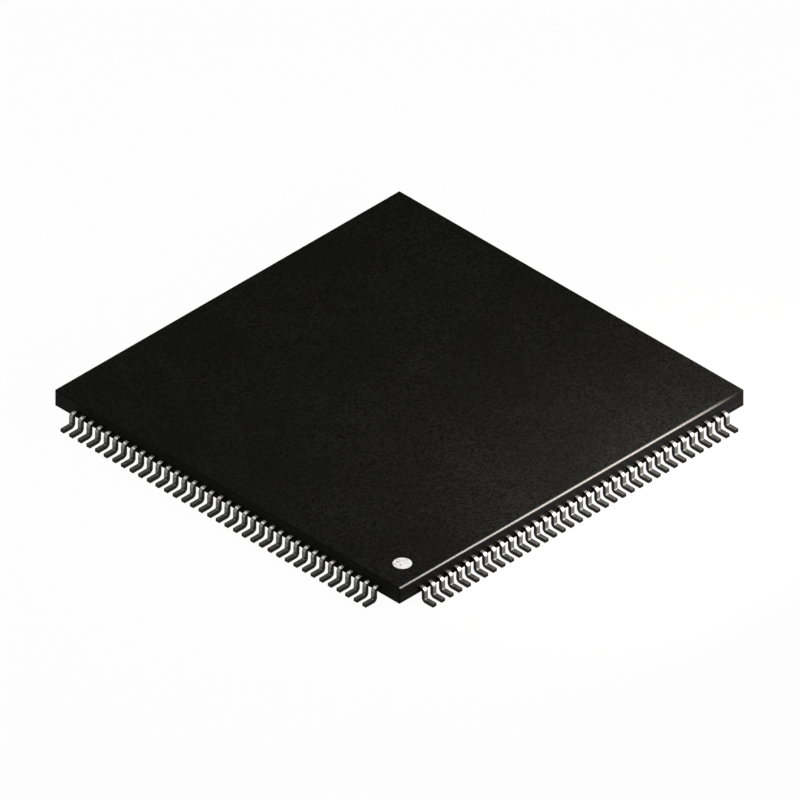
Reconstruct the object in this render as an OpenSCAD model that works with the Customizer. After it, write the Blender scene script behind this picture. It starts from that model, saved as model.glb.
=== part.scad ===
// Quad flat pack chip: a square moulded body with a row of gull-wing leads on each side.
// Millimetres, +Z up. The origin is the centre of the package on the plane of its feet.
// Seen from above, the pin 1 corner is at -X -Y and the leads count anticlockwise from it.

/* [Body] */
// Side of the square moulded body
body_side = 20; // [19.5:0.5:28]
// Thickness of the moulded body
body_t = 0.825; // [0.7:0.025:1.4]
// Height of the underside of the body over the board
standoff = 0.325; // [0.25:0.025:0.5]
// Rounding on the edges of the top face and the underside
edge_r = 0.08; // [0.02:0.01:0.15]
// Rounding on the four upright corners
corner_r = 0.08; // [0.04:0.01:0.3]

/* [Leads] */
// Number of leads on each of the four sides
leads_per_side = 36; // [4:4:36]
// Distance between the centres of neighbouring leads
pitch = 0.5; // [0.4:0.01:0.52]
// Width of a lead
lead_w = 0.21; // [0.14:0.01:0.3]
// Thickness of the lead frame
lead_t = 0.15; // [0.1:0.01:0.18]
// Plastic under the lead frame, down to the underside of the body
lead_cover = 0.2; // [0.1:0.005:0.25]
// Straight shoulder between the side of the body and the first bend
shoulder = 0.1; // [0.04:0.01:0.4]
// Inside radius of the two bends of a lead
bend_r = 0.045; // [0.02:0.005:0.08]
// Flat length of the foot beyond the second bend
foot = 0.46; // [0.2:0.01:0.8]

/* [Inside the moulding] */
// Straight stretch of each lead inside the side of the body
anchor = 0.4; // [0.2:0.05:0.4]
// Distance between the centres of neighbouring finger tips
tip_pitch = 0.24; // [0.2:0.01:0.26]
// Width of a finger tip
tip_w = 0.12; // [0.08:0.01:0.16]
// Gap between the finger tips and the die pad
tip_gap = 0.6; // [0.3:0.05:1.2]
// Side of the square die pad
pad_side = 9; // [8:0.25:10]
// Width of the tie bars that run from the die pad to the corners
tie_w = 0.3; // [0.15:0.05:0.4]
// Plastic between the end of a tie bar and the corner of the body
tie_cover = 0.8; // [0.4:0.1:2]
// Side of the square silicon die
die_side = 7; // [3:0.25:8]
// Thickness of the silicon die
die_t = 0.2; // [0.1:0.01:0.25]
// Thickness of the adhesive under the die
attach_t = 0.02; // [0.01:0.005:0.04]
// Thickness of a gold bond wire
wire_d = 0.03; // [0.02:0.005:0.04]
// Height of the wire loops over the die
loop_h = 0.12; // [0.08:0.01:0.14]
// Distance from the edge of the die in to the bonds along it
bond_in = 0.1; // [0.05:0.01:0.2]
// Distance from the corner of the die to the first bond
bond_margin = 0.7; // [0.3:0.05:1]
// Length of wire that is pressed flat on each finger tip
stitch = 0.1; // [0.06:0.01:0.15]

/* [Pin 1 mark] */
// Diameter of the dot
mark_d = 0.8; // [0.4:0.05:1.2]
// Depth of the moulded dimple that the ink fills level with the top face
mark_depth = 0.03; // [0.01:0.005:0.05]
// Centre of the dot from the left side of the body
mark_in_x = 1.35; // [0.8:0.01:3]
// Centre of the dot from the front side of the body
mark_in_y = 1.18; // [0.8:0.01:3]

/* [Hidden] */
$fn = 48;
cut_past = 0.1;  // how far a cutting shape runs past the face that it opens

body_top = standoff + body_t;
lead_z = standoff + lead_cover;  // underside of the lead frame inside the body
frame_top = lead_z + lead_t;
bend_mid_r = bend_r + lead_t / 2;
leg = lead_z - 2 * bend_mid_r;  // upright stretch between the two bends
tip_from_centre = pad_side / 2 + tip_gap;
finger_len = body_side / 2 - tip_from_centre;
tie_reach = body_side / sqrt(2) - tie_cover;
die_top = frame_top + attach_t + die_t;
row_len = (leads_per_side - 1) * pitch;  // from the first lead to the last
bond_row_len = die_side - 2 * bond_margin;

// A rectangle about the origin with round corners.
module rounded_rect(w, h, r) {
    square([w, h - 2 * r], center = true);
    square([w - 2 * r, h], center = true);
    for (x = [-1, 1], y = [-1, 1])
        translate([x * (w / 2 - r), y * (h / 2 - r)]) circle(r);
}

// The outline of the body seen from one side, drawn out along Y.
module side_view_prism()
    translate([0, 0, standoff + body_t / 2])
        rotate([90, 0, 0])
            linear_extrude(body_side, center = true)
                rounded_rect(body_side, body_t, edge_r);

// The moulding with nothing in it.
module blank()
    intersection() {
        translate([0, 0, standoff])
            linear_extrude(body_t)
                rounded_rect(body_side, body_side, corner_r);
        side_view_prism();
        rotate(90) side_view_prism();
    }

// Sheet seen edge on, along +X from the origin. The next stretch follows at its far end.
module straight(length) {
    translate([0, -lead_t / 2]) square([length, lead_t]);
    translate([length, 0]) children();
}

// A square bend in the sheet, down for turn = 1 and up for turn = -1.
module bend(turn) {
    translate([0, -turn * bend_mid_r]) {
        intersection() {
            difference() {
                circle(bend_r + lead_t);
                circle(bend_r);
            }
            translate([0, turn > 0 ? 0 : -bend_r - lead_t]) square(bend_r + lead_t);
        }
        translate([bend_mid_r, 0]) rotate(-90 * turn) children();
    }
}

// The lead outside the body, seen along the row: X is out from the body and Y is up.
module gull_wing()
    translate([0, lead_z + lead_t / 2])
        straight(shoulder) bend(1) straight(leg) bend(-1) straight(foot);

// The lead inside the body, seen from above: it runs in along +Y and turns towards the die pad.
module finger(along)
    let (tip = along * tip_pitch / pitch)
        polygon([
            [along - lead_w / 2, 0], [along + lead_w / 2, 0], [along + lead_w / 2, anchor],
            [tip + tip_w / 2, finger_len], [tip - tip_w / 2, finger_len], [along - lead_w / 2, anchor]
        ]);

// One lead of the front row, at a distance along X from the middle of the row.
module lead(along)
    translate([0, -body_side / 2, 0]) {
        translate([along, 0, 0])
            rotate([90, 0, -90])
                linear_extrude(lead_w, center = true) gull_wing();
        translate([0, 0, lead_z]) linear_extrude(lead_t) finger(along);
    }

// Repeats one front lead, or its wire, along the row. Quarter turns take the row from the
// front to the right, the back and the left. $share runs from -0.5 to 0.5 along it.
module row(quarter)
    rotate(90 * quarter)
        for (i = [0 : leads_per_side - 1])
            let ($share = i / (leads_per_side - 1) - 0.5) children();

module lead_row(quarter)
    color("silver") row(quarter) lead($share * row_len);

module die_pad()
    color("peru")
        translate([0, 0, lead_z])
            linear_extrude(lead_t) {
                square(pad_side, center = true);
                for (quarter = [0 : 3])
                    rotate(45 + 90 * quarter)
                        translate([0, -tie_w / 2]) square([tie_reach, tie_w]);
            }

module die_attach()
    color("lightgray")
        translate([0, 0, frame_top])
            linear_extrude(attach_t) square(die_side, center = true);

module die()
    color("slategray")
        translate([0, 0, frame_top + attach_t])
            linear_extrude(die_t) square(die_side, center = true);

// One wire seen from the side: up from the die, over its edge and down to the finger tip.
module wire_loop(span)
    polygon([
        [-wire_d / 2, die_top], [-wire_d / 2, die_top + loop_h],
        [span - stitch, frame_top + wire_d], [span, frame_top + wire_d], [span, frame_top],
        [span - stitch, frame_top], [wire_d / 2, die_top + loop_h - wire_d], [wire_d / 2, die_top]
    ]);

// The wire of one front lead, from its bond near the edge of the die to its finger tip.
module wire(share) {
    bond = [share * bond_row_len, bond_in - die_side / 2];
    tip = [share * row_len * tip_pitch / pitch, -tip_from_centre - stitch];
    way = tip - bond;
    translate(bond)
        rotate([90, 0, atan2(way.y, way.x)])
            linear_extrude(wire_d, center = true) wire_loop(norm(way));
}

module wire_row(quarter)
    color("gold") row(quarter) wire($share);

// A disc sunk into the top face. The dimple is cut past the face, and the ink ends level with it.
module mark_disc(above)
    translate([mark_in_x - body_side / 2, mark_in_y - body_side / 2, body_top - mark_depth])
        cylinder(d = mark_d, h = mark_depth + above);

module pin_1_mark() color("white") mark_disc(0);

// The moulding compound, cast round everything that it holds.
module body()
    color("#1b1a18")
        difference() {
            blank();
            for (quarter = [0 : 3]) {
                lead_row(quarter);
                wire_row(quarter);
            }
            die_pad();
            die_attach();
            die();
            mark_disc(cut_past);
        }

body();
lead_row(0);  // leads_front
lead_row(1);  // leads_right
lead_row(2);  // leads_back
lead_row(3);  // leads_left
pin_1_mark();
die_pad();
die_attach();
die();
wire_row(0);  // bond_wires_front
wire_row(1);  // bond_wires_right
wire_row(2);  // bond_wires_back
wire_row(3);  // bond_wires_left
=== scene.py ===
"""Quad flat pack chip: its finishes, a pale floor, soft studio lamps and a camera, round the CAD frame."""
import math

import bpy
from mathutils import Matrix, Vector


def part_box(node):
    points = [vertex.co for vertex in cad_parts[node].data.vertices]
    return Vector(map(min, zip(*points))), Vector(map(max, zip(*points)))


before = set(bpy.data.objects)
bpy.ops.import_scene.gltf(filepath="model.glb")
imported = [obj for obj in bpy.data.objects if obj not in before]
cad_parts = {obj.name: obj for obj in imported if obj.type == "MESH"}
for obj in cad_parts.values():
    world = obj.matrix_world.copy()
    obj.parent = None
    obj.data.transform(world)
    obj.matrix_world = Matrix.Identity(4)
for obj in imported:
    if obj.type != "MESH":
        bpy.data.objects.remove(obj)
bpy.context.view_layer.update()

MM = 0.001

# The chip is square, with its middle over the origin, so one number tells how far out its walls stand, and
# one how far its leads reach.
BODY_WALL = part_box("body")[1].x
BODY_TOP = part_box("body")[1].z
LEAD_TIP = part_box("leads_right")[1].x
LEAD_SPACING = 0.5 * MM
# The die pad and the leads are cut from one flat sheet, so the leads leave the body at the pad's height.
PAD_LOW, PAD_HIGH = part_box("die_pad")
SHEET_MIDDLE = (PAD_LOW.z + PAD_HIGH.z) / 2


# ---------- colours and nodes ----------

def srgb(hex_colour):
    """A colour written as sRGB hex, turned to linear RGBA."""
    parts = [int(hex_colour[i:i + 2], 16) / 255 for i in (1, 3, 5)]
    linear = [c / 12.92 if c <= 0.04045 else ((c + 0.055) / 1.055) ** 2.4 for c in parts]
    return (*linear, 1.0)


def add(tree, kind, settings=None, inputs=None, output=None):
    """Adds a node, sets its properties, and fills or links its inputs. Returns the output named, or else
    the first that is in use."""
    made = tree.nodes.new(kind)
    for name, value in (settings or {}).items():
        setattr(made, name, value)
    for name, value in (inputs or {}).items():
        live = [socket for socket in made.inputs if socket.enabled and socket.name == name]
        socket = live[0] if live else made.inputs[name]
        if isinstance(value, bpy.types.NodeSocket):
            tree.links.new(value, socket)
        else:
            socket.default_value = value
    live = [socket for socket in made.outputs if socket.enabled]
    return made.outputs[output] if output else live[0] if live else None


def new_material(name):
    """A material with an empty node tree, and that tree."""
    material = bpy.data.materials.new(name)
    material.use_nodes = True
    material.node_tree.nodes.clear()
    return material, material.node_tree


# Settings that many nodes share: a ramp with soft ends, and a mix of two colours.
SMOOTH = {"interpolation_type": "SMOOTHSTEP"}
COLOUR = {"data_type": "RGBA"}


# ---------- finishes of the chip ----------

def moulded_epoxy():
    """Carbon-black epoxy moulding compound. The mould is spark-eroded, so the faces are matt with a fine
    grain and cloudy patches, and hardly shine. Only the top edge at the front has a gloss, and a pale
    painted highlight."""
    carbon = srgb("#040404")
    filler = srgb("#292927")
    cloudy = srgb("#11110f")
    # Painted shade: the darker colour of the walls.
    painted_wall_shade = srgb("#0d0c0b")
    parting = srgb("#1c1c1a")
    # Painted highlight: the pale colour given to the top edge at the front.
    painted_edge_highlight = srgb("#555350")
    glossy_edge_rough = 0.24
    parting_half_width = 0.02 * MM
    # The glossy top edge at the front, with its painted highlight, faces this way, and both fade out
    # between these two places along X.
    edge_way = (0, -math.sqrt(0.5), math.sqrt(0.5))
    fade_from = BODY_WALL - 2.8 * MM
    fade_to = BODY_WALL - 0.2 * MM

    material, tree = new_material("moulded_epoxy")
    place = add(tree, "ShaderNodeTexCoord", output="Object")
    normal = add(tree, "ShaderNodeTexCoord", output="Normal")
    x = add(tree, "ShaderNodeSeparateXYZ", None, {"Vector": place}, "X")
    height = add(tree, "ShaderNodeSeparateXYZ", None, {"Vector": place}, "Z")

    # The real grain is about 0.02 mm across. It is drawn 0.1 mm across, 10 to the millimetre, so that it
    # shows.
    grain = add(tree, "ShaderNodeTexNoise", None,
                {"Vector": place, "Scale": 10 / MM, "Detail": 3.0, "Roughness": 0.6})
    peaks = add(tree, "ShaderNodeMapRange", SMOOTH, {"Value": grain, "From Min": 0.3, "From Max": 0.7})
    shade = add(tree, "ShaderNodeMix", COLOUR, {"Factor": peaks, "A": carbon, "B": filler})
    # The filler settles unevenly, in patches of about 3 mm.
    cloud = add(tree, "ShaderNodeTexNoise", None, {"Vector": place, "Scale": 0.35 / MM, "Detail": 2.0})
    shade = add(tree, "ShaderNodeMix", COLOUR, {"Factor": cloud, "A": shade, "B": cloudy})

    # The walls get painted shade: they are coloured darker than the top and the underside.
    upright = add(tree, "ShaderNodeVectorMath", {"operation": "DOT_PRODUCT"},
                  {0: normal, 1: (0, 0, 1)}, "Value")
    level = add(tree, "ShaderNodeMath", {"operation": "ABSOLUTE"}, {0: upright})
    flat = add(tree, "ShaderNodeMapRange", SMOOTH, {"Value": level, "From Min": 0.3, "From Max": 0.7})
    shade = add(tree, "ShaderNodeMix", COLOUR, {"Factor": flat, "A": painted_wall_shade, "B": shade})
    # The two halves of the mould meet at the middle of the leads, and leave a faint raised line on the
    # walls.
    line = add(tree, "ShaderNodeMath", {"operation": "COMPARE"},
               {0: height, 1: SHEET_MIDDLE, 2: parting_half_width})
    shade = add(tree, "ShaderNodeMix", COLOUR, {"Factor": line, "A": shade, "B": parting})

    # The top edge at the front gets a painted highlight, which is a pale colour, and a glossy coat that
    # catches the strip lamp. Both start at the marked corner and fade out just short of the other end.
    facing = add(tree, "ShaderNodeVectorMath", {"operation": "DOT_PRODUCT"},
                 {0: normal, 1: edge_way}, "Value")
    front = add(tree, "ShaderNodeMapRange", SMOOTH, {"Value": facing, "From Min": 0.74, "From Max": 0.84})
    kept = add(tree, "ShaderNodeMapRange", SMOOTH,
               {"Value": x, "From Min": fade_from, "From Max": fade_to, "To Min": 1.0, "To Max": 0.0})
    edge = add(tree, "ShaderNodeMath", {"operation": "MULTIPLY"}, {0: front, 1: kept})
    shade = add(tree, "ShaderNodeMix", COLOUR, {"Factor": edge, "A": shade, "B": painted_edge_highlight})

    rough = add(tree, "ShaderNodeMix", None, {"Factor": grain, "A": 0.52, "B": 0.66})
    rough = add(tree, "ShaderNodeMix", None, {"Factor": edge, "A": rough, "B": glossy_edge_rough})
    relief = add(tree, "ShaderNodeMath", {"operation": "ADD"}, {0: grain, 1: line})
    bump = add(tree, "ShaderNodeBump", None, {"Strength": 0.35, "Distance": 0.006 * MM, "Height": relief})
    surface = add(tree, "ShaderNodeBsdfPrincipled", None,
                  {"Base Color": shade, "Roughness": rough, "Specular IOR Level": 0.05, "Coat Weight": edge,
                   "Coat Roughness": glossy_edge_rough, "Coat IOR": 1.65, "Normal": bump})
    add(tree, "ShaderNodeOutputMaterial", None, {"Surface": surface})
    return material


def tin_plate():
    """Matt tin, electroplated on the copper alloy of the leads: pale grey, satin, with a fine crystal
    grain. Painted light makes the shoulders brighter, and painted shade makes the legs and feet darker,
    the flanks near black and a line along the rims dark. The cut tips are tarnished copper, and the
    length inside the body is bare copper, because the plating comes after the moulding."""
    # Painted light on the shoulders, and painted shade on the legs and feet.
    shoulder_painted_light = srgb("#e6e5e2")
    leg_painted_shade = srgb("#878683")
    crystal = srgb("#6f6e6a")
    # Painted shade: the dark line along both sides of a lead.
    painted_rim_shade = srgb("#2c2b29")
    # Painted shade: the near-black colour of the flanks.
    painted_flank_shade = srgb("#161514")
    tarnished = srgb("#1f1712")
    bare = srgb("#b9795a")
    leg_top = 0.48 * MM
    shoulder_bottom = 0.64 * MM
    # Both are counted from the middle of the gap between two leads.
    rim_from = 0.155 * MM
    rim_to = 0.185 * MM
    tip_depth = 0.004 * MM

    material, tree = new_material("matt_tin_plate")
    place = add(tree, "ShaderNodeTexCoord", output="Object")
    normal = add(tree, "ShaderNodeTexCoord", output="Normal")
    # The four rows are alike, so only the sizes of places and normals count, not their signs.
    place_size = add(tree, "ShaderNodeVectorMath", {"operation": "ABSOLUTE"}, {0: place})
    normal_size = add(tree, "ShaderNodeVectorMath", {"operation": "ABSOLUTE"}, {0: normal})
    x = add(tree, "ShaderNodeSeparateXYZ", None, {"Vector": place_size}, "X")
    y = add(tree, "ShaderNodeSeparateXYZ", None, {"Vector": place_size}, "Y")
    height = add(tree, "ShaderNodeSeparateXYZ", None, {"Vector": place_size}, "Z")
    normal_x = add(tree, "ShaderNodeSeparateXYZ", None, {"Vector": normal_size}, "X")
    normal_y = add(tree, "ShaderNodeSeparateXYZ", None, {"Vector": normal_size}, "Y")
    # 1 on the leads that run along Y, 0 on those that run along X.
    along_y = add(tree, "ShaderNodeMath", {"operation": "GREATER_THAN"}, {0: y, 1: x})
    reach = add(tree, "ShaderNodeMath", {"operation": "MAXIMUM"}, {0: x, 1: y})
    across = add(tree, "ShaderNodeMath", {"operation": "MINIMUM"}, {0: x, 1: y})
    normal_across = add(tree, "ShaderNodeMix", None, {"Factor": along_y, "A": normal_y, "B": normal_x})
    normal_along = add(tree, "ShaderNodeMix", None, {"Factor": along_y, "A": normal_x, "B": normal_y})

    # Painted light and shade: the shoulders are coloured bright, and the legs and feet darker.
    shoulder_light_mask = add(tree, "ShaderNodeMapRange", SMOOTH,
                 {"Value": height, "From Min": leg_top, "From Max": shoulder_bottom})
    colour = add(tree, "ShaderNodeMix", COLOUR, {"Factor": shoulder_light_mask, "A": leg_painted_shade, "B": shoulder_painted_light})
    # The real crystals are about 0.005 mm across. They are drawn 0.05 mm across, 20 to the millimetre, so
    # that they show.
    grain = add(tree, "ShaderNodeTexNoise", None, {"Vector": place, "Scale": 20 / MM, "Detail": 2.0})
    crystals = add(tree, "ShaderNodeMath", {"operation": "MULTIPLY"}, {0: grain, 1: 0.4})
    colour = add(tree, "ShaderNodeMix", COLOUR, {"Factor": crystals, "A": colour, "B": crystal})

    # A dark line of painted shade runs along both sides of a lead. The ping-pong is 0 at the middle of each
    # gap and greatest at the middle of each lead.
    middle = add(tree, "ShaderNodeMath", {"operation": "PINGPONG"}, {0: across, 1: LEAD_SPACING / 2})
    face = add(tree, "ShaderNodeMapRange", SMOOTH,
               {"Value": middle, "From Min": rim_from, "From Max": rim_to})
    colour = add(tree, "ShaderNodeMix", COLOUR, {"Factor": face, "A": painted_rim_shade, "B": colour})
    # Painted shade: the flanks, which are the faces across a lead, are coloured near black.
    flank_faces = add(tree, "ShaderNodeMapRange", SMOOTH,
                  {"Value": normal_across, "From Min": 0.5, "From Max": 0.8})
    colour = add(tree, "ShaderNodeMix", COLOUR, {"Factor": flank_faces, "A": colour, "B": painted_flank_shade})
    # The leads are cut to length after the plating.
    at_tip = add(tree, "ShaderNodeMath", {"operation": "GREATER_THAN"}, {0: reach, 1: LEAD_TIP - tip_depth})
    cut = add(tree, "ShaderNodeMapRange", SMOOTH, {"Value": normal_along, "From Min": 0.5, "From Max": 0.8})
    tip = add(tree, "ShaderNodeMath", {"operation": "MULTIPLY"}, {0: at_tip, 1: cut})
    colour = add(tree, "ShaderNodeMix", COLOUR, {"Factor": tip, "A": colour, "B": tarnished})
    outside = add(tree, "ShaderNodeMath", {"operation": "GREATER_THAN"}, {0: reach, 1: BODY_WALL})
    colour = add(tree, "ShaderNodeMix", COLOUR, {"Factor": outside, "A": bare, "B": colour})

    rough = add(tree, "ShaderNodeMix", None, {"Factor": grain, "A": 0.44, "B": 0.56})
    bump = add(tree, "ShaderNodeBump", None, {"Strength": 0.25, "Distance": 0.003 * MM, "Height": grain})
    surface = add(tree, "ShaderNodeBsdfPrincipled", None,
                  {"Base Color": colour, "Metallic": 1.0, "Roughness": rough, "Normal": bump})
    add(tree, "ShaderNodeOutputMaterial", None, {"Surface": surface})
    return material


def white_ink():
    """Opaque white epoxy ink, pad-printed: satin, with faint grey specks where the matt moulding under it
    thins the ink."""
    white = srgb("#ffffff")
    speck = srgb("#bcbdc0")

    material, tree = new_material("white_epoxy_ink")
    place = add(tree, "ShaderNodeTexCoord", output="Object")
    # The real specks are as fine as the grain of the moulding, 0.02 mm. They are drawn 9 to the millimetre,
    # so that they show.
    specks = add(tree, "ShaderNodeTexNoise", None, {"Vector": place, "Scale": 9 / MM, "Detail": 2.0})
    thin = add(tree, "ShaderNodeMapRange", SMOOTH, {"Value": specks, "From Min": 0.52, "From Max": 0.66})
    colour = add(tree, "ShaderNodeMix", COLOUR, {"Factor": thin, "A": white, "B": speck})
    bump = add(tree, "ShaderNodeBump", None, {"Strength": 0.3, "Distance": 0.004 * MM, "Height": specks})
    surface = add(tree, "ShaderNodeBsdfPrincipled", None,
                  {"Base Color": colour, "Roughness": 0.5, "Normal": bump})
    add(tree, "ShaderNodeOutputMaterial", None, {"Surface": surface})
    return material


def rolled_copper():
    """Copper alloy strip for lead frames, cold rolled: warm, satin, with fine lines along the rolling."""
    dark_line = srgb("#a96c4e")
    light_line = srgb("#cf9473")

    material, tree = new_material("rolled_copper_alloy")
    place = add(tree, "ShaderNodeTexCoord", output="Object")
    # The real lines are about 0.005 mm apart. They are drawn 0.03 mm apart, 33 to the millimetre, so that
    # they show, and 50 times as long as they are wide.
    drawn_out = add(tree, "ShaderNodeMapping", None, {"Vector": place, "Scale": (0.02, 1, 1)})
    lines = add(tree, "ShaderNodeTexNoise", None, {"Vector": drawn_out, "Scale": 33 / MM, "Detail": 2.0})
    colour = add(tree, "ShaderNodeMix", COLOUR, {"Factor": lines, "A": dark_line, "B": light_line})
    rough = add(tree, "ShaderNodeMix", None, {"Factor": lines, "A": 0.28, "B": 0.42})
    bump = add(tree, "ShaderNodeBump", None, {"Strength": 0.3, "Distance": 0.002 * MM, "Height": lines})
    surface = add(tree, "ShaderNodeBsdfPrincipled", None,
                  {"Base Color": colour, "Metallic": 1.0, "Roughness": rough, "Normal": bump})
    add(tree, "ShaderNodeOutputMaterial", None, {"Surface": surface})
    return material


def silver_paste():
    """Epoxy paste filled with silver flakes, cured: pale grey, half metallic, speckled by its flakes."""
    flake = srgb("#c9cac8")
    resin = srgb("#84857f")

    material, tree = new_material("silver_filled_epoxy")
    place = add(tree, "ShaderNodeTexCoord", output="Object")
    # The real flakes are about 0.01 mm across. They are drawn 0.03 mm across, 33 to the millimetre, so that
    # they show.
    flakes = add(tree, "ShaderNodeTexVoronoi", None, {"Vector": place, "Scale": 33 / MM}, "Distance")
    colour = add(tree, "ShaderNodeMix", COLOUR, {"Factor": flakes, "A": flake, "B": resin})
    metal = add(tree, "ShaderNodeMix", None, {"Factor": flakes, "A": 0.9, "B": 0.2})
    rough = add(tree, "ShaderNodeMix", None, {"Factor": flakes, "A": 0.35, "B": 0.6})
    surface = add(tree, "ShaderNodeBsdfPrincipled", None,
                  {"Base Color": colour, "Metallic": metal, "Roughness": rough})
    add(tree, "ShaderNodeOutputMaterial", None, {"Surface": surface})
    return material


def polished_silicon():
    """Silicon under a clear nitride film: slate grey, nearly a mirror, with a slight drift of tint."""
    blue_slate = srgb("#4b4f5c")
    warm_slate = srgb("#5d5a63")

    material, tree = new_material("polished_silicon")
    place = add(tree, "ShaderNodeTexCoord", output="Object")
    # The film's thickness drifts over 2 mm or so.
    drift = add(tree, "ShaderNodeTexNoise", None, {"Vector": place, "Scale": 0.5 / MM, "Detail": 1.0})
    colour = add(tree, "ShaderNodeMix", COLOUR, {"Factor": drift, "A": blue_slate, "B": warm_slate})
    rough = add(tree, "ShaderNodeMix", None, {"Factor": drift, "A": 0.1, "B": 0.2})
    surface = add(tree, "ShaderNodeBsdfPrincipled", None,
                  {"Base Color": colour, "Metallic": 0.6, "Roughness": rough})
    add(tree, "ShaderNodeOutputMaterial", None, {"Surface": surface})
    return material


def drawn_gold():
    """Gold bonding wire, drawn through a die: bright, warm yellow, faintly mottled by the drawing."""
    deep_gold = srgb("#d9a441")
    light_gold = srgb("#f2c76b")

    material, tree = new_material("drawn_gold_wire")
    place = add(tree, "ShaderNodeTexCoord", output="Object")
    # The real marks are about 0.005 mm across. They are drawn 0.015 mm across, 66 to the millimetre, so
    # that they show.
    marks = add(tree, "ShaderNodeTexNoise", None, {"Vector": place, "Scale": 66 / MM, "Detail": 1.0})
    colour = add(tree, "ShaderNodeMix", COLOUR, {"Factor": marks, "A": deep_gold, "B": light_gold})
    rough = add(tree, "ShaderNodeMix", None, {"Factor": marks, "A": 0.18, "B": 0.3})
    surface = add(tree, "ShaderNodeBsdfPrincipled", None,
                  {"Base Color": colour, "Metallic": 1.0, "Roughness": rough})
    add(tree, "ShaderNodeOutputMaterial", None, {"Surface": surface})
    return material


def dress_cad_nodes():
    """Gives every CAD node the finish that stands for the material in its slot."""
    finishes = {
        "mould_compound": moulded_epoxy(),
        "tinned_leads": tin_plate(),
        "white_ink": white_ink(),
        "copper_alloy": rolled_copper(),
        "silver_epoxy": silver_paste(),
        "silicon": polished_silicon(),
        "gold_wire": drawn_gold(),
    }
    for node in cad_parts.values():
        for slot in node.material_slots:
            slot.material = finishes[slot.material.name]


# ---------- stage ----------

PLAIN_WHITE = (1, 1, 1, 1)


def seen_directly(tree):
    """1 where the camera, a reflection or glass looks, and 0 where a surface gathers its light."""
    looks = [add(tree, "ShaderNodeLightPath", output=kind)
             for kind in ("Is Camera Ray", "Is Glossy Ray", "Is Transmission Ray")]
    seen = add(tree, "ShaderNodeMath", {"operation": "MAXIMUM"}, {0: looks[0], 1: looks[1]})
    return add(tree, "ShaderNodeMath", {"operation": "MAXIMUM"}, {0: seen, 1: looks[2]})


def pale_floor():
    """Pale matt floor. The camera and reflections see nearly all of it as plain white, and the small share
    that is left keeps the shadow."""
    white_share = 0.97
    material, tree = new_material("pale_floor")
    matt = add(tree, "ShaderNodeBsdfDiffuse", None, {"Color": srgb("#f8f8f6")})
    white = add(tree, "ShaderNodeEmission", None, {"Color": PLAIN_WHITE, "Strength": 1.0})
    share = add(tree, "ShaderNodeMath", {"operation": "MULTIPLY"}, {0: seen_directly(tree), 1: white_share})
    mixed = add(tree, "ShaderNodeMixShader", None, {"Fac": share, 1: matt, 2: white})
    add(tree, "ShaderNodeOutputMaterial", None, {"Surface": mixed})
    return material


def make_floor():
    """A square floor at the height of the feet."""
    floor_size = 600 * MM
    bpy.ops.mesh.primitive_plane_add(size=floor_size, location=(0, 0, 0))
    floor = bpy.context.object
    floor.name = "floor"
    floor.data.materials.append(pale_floor())


def softbox(name, place, aim, size, radiance, colour="#ffffff", spread=180):
    """A rectangular lamp at a place, facing a point, both in mm. Its width and height are in mm, its
    strength is the radiance of its face, and its spread is in degrees."""
    lamp = bpy.data.lights.new(name, "AREA")
    lamp.shape = "RECTANGLE"
    lamp.size = size[0] * MM
    lamp.size_y = size[1] * MM
    lamp.energy = radiance * math.pi * lamp.size * lamp.size_y
    lamp.color = srgb(colour)[:3]
    lamp.spread = math.radians(spread)
    holder = bpy.data.objects.new(name, lamp)
    holder.location = Vector(place) * MM
    holder.rotation_euler = (Vector(aim) - Vector(place)).to_track_quat("-Z", "Y").to_euler()
    holder.visible_camera = False
    bpy.context.scene.collection.objects.link(holder)


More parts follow.
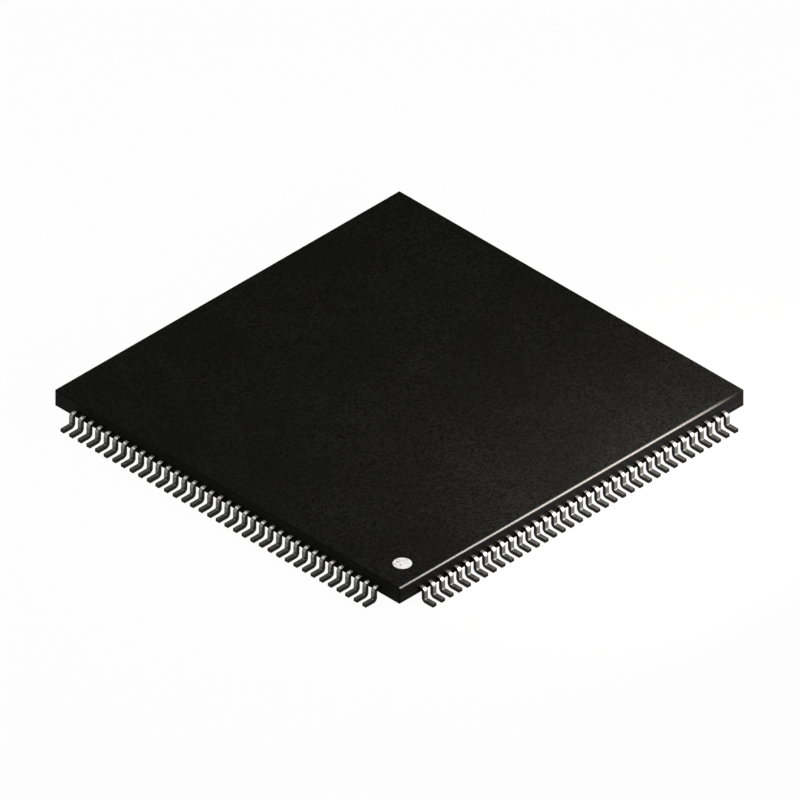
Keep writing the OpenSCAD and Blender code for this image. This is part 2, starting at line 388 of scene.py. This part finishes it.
def make_lamps():
    """Two softboxes for the whole chip, and a strip for its front edge."""
    chip = (0, 0, 0)
    # A wide one at the front right lights everything plainly.
    softbox("front_softbox", (70, -80, 100), chip, (120, 120), radiance=1.12)
    # One nearly overhead lights the shoulders and feet of the leads.
    softbox("overhead_softbox", (-15, 35, 105), chip, (60, 60), radiance=3.8)
    # A warm strip close in front draws the line of light along the front edge of the body, over the painted
    # highlight there. Its middle is right of the chip's, and it shines down on the edge at this angle.
    right_of_middle = 4.763
    distance = 9
    downward = math.radians(42)
    edge = Vector((right_of_middle, -BODY_WALL / MM, BODY_TOP / MM - 0.05))
    place = edge + Vector((0, -math.cos(downward), math.sin(downward))) * distance
    softbox("strip", place, edge, (17, 8), radiance=7.9, colour="#fff9f3", spread=150)


def make_world():
    """Dim grey studio air. Low down, where a level view looks past the floor, it is seen as white."""
    dim_grey = srgb("#464646")
    white_below = 0.02
    grey_above = 0.2
    world = bpy.data.worlds.new("studio")
    world.use_nodes = True
    tree = world.node_tree
    tree.nodes.clear()
    way = add(tree, "ShaderNodeTexCoord", output="Generated")
    rise = add(tree, "ShaderNodeSeparateXYZ", None, {"Vector": way}, "Z")
    low = add(tree, "ShaderNodeMapRange", SMOOTH,
              {"Value": rise, "From Min": white_below, "From Max": grey_above,
               "To Min": 1.0, "To Max": 0.0})
    share = add(tree, "ShaderNodeMath", {"operation": "MULTIPLY"}, {0: low, 1: seen_directly(tree)})
    colour = add(tree, "ShaderNodeMix", COLOUR, {"Factor": share, "A": dim_grey, "B": PLAIN_WHITE})
    light = add(tree, "ShaderNodeBackground", None, {"Color": colour, "Strength": 1.0})
    add(tree, "ShaderNodeOutputWorld", None, {"Surface": light})
    bpy.context.scene.world = world


def make_camera():
    """Isometric view with no perspective, from over the marked corner."""
    view_width = 32.8 * MM
    below_top = 0.4385 * MM
    to_the_right = 0.025 * MM
    distance = 60 * MM
    camera = bpy.data.cameras.new("camera")
    camera.type = "ORTHO"
    camera.ortho_scale = view_width
    camera.clip_start = 1 * MM
    camera.clip_end = 1000 * MM
    away = Vector((-1, -1, 1)).normalized()
    up = Vector((1, 1, 2)).normalized()
    right = Vector((1, -1, 0)).normalized()
    aim = Vector((0, 0, BODY_TOP)) - up * below_top + right * to_the_right
    holder = bpy.data.objects.new("camera", camera)
    holder.location = aim + away * distance
    holder.rotation_euler = (-away).to_track_quat("-Z", "Y").to_euler()
    bpy.context.scene.collection.objects.link(holder)
    bpy.context.scene.camera = holder


dress_cad_nodes()
make_floor()
make_lamps()
make_world()
make_camera()
bpy.context.scene.view_settings.view_transform = "Standard"
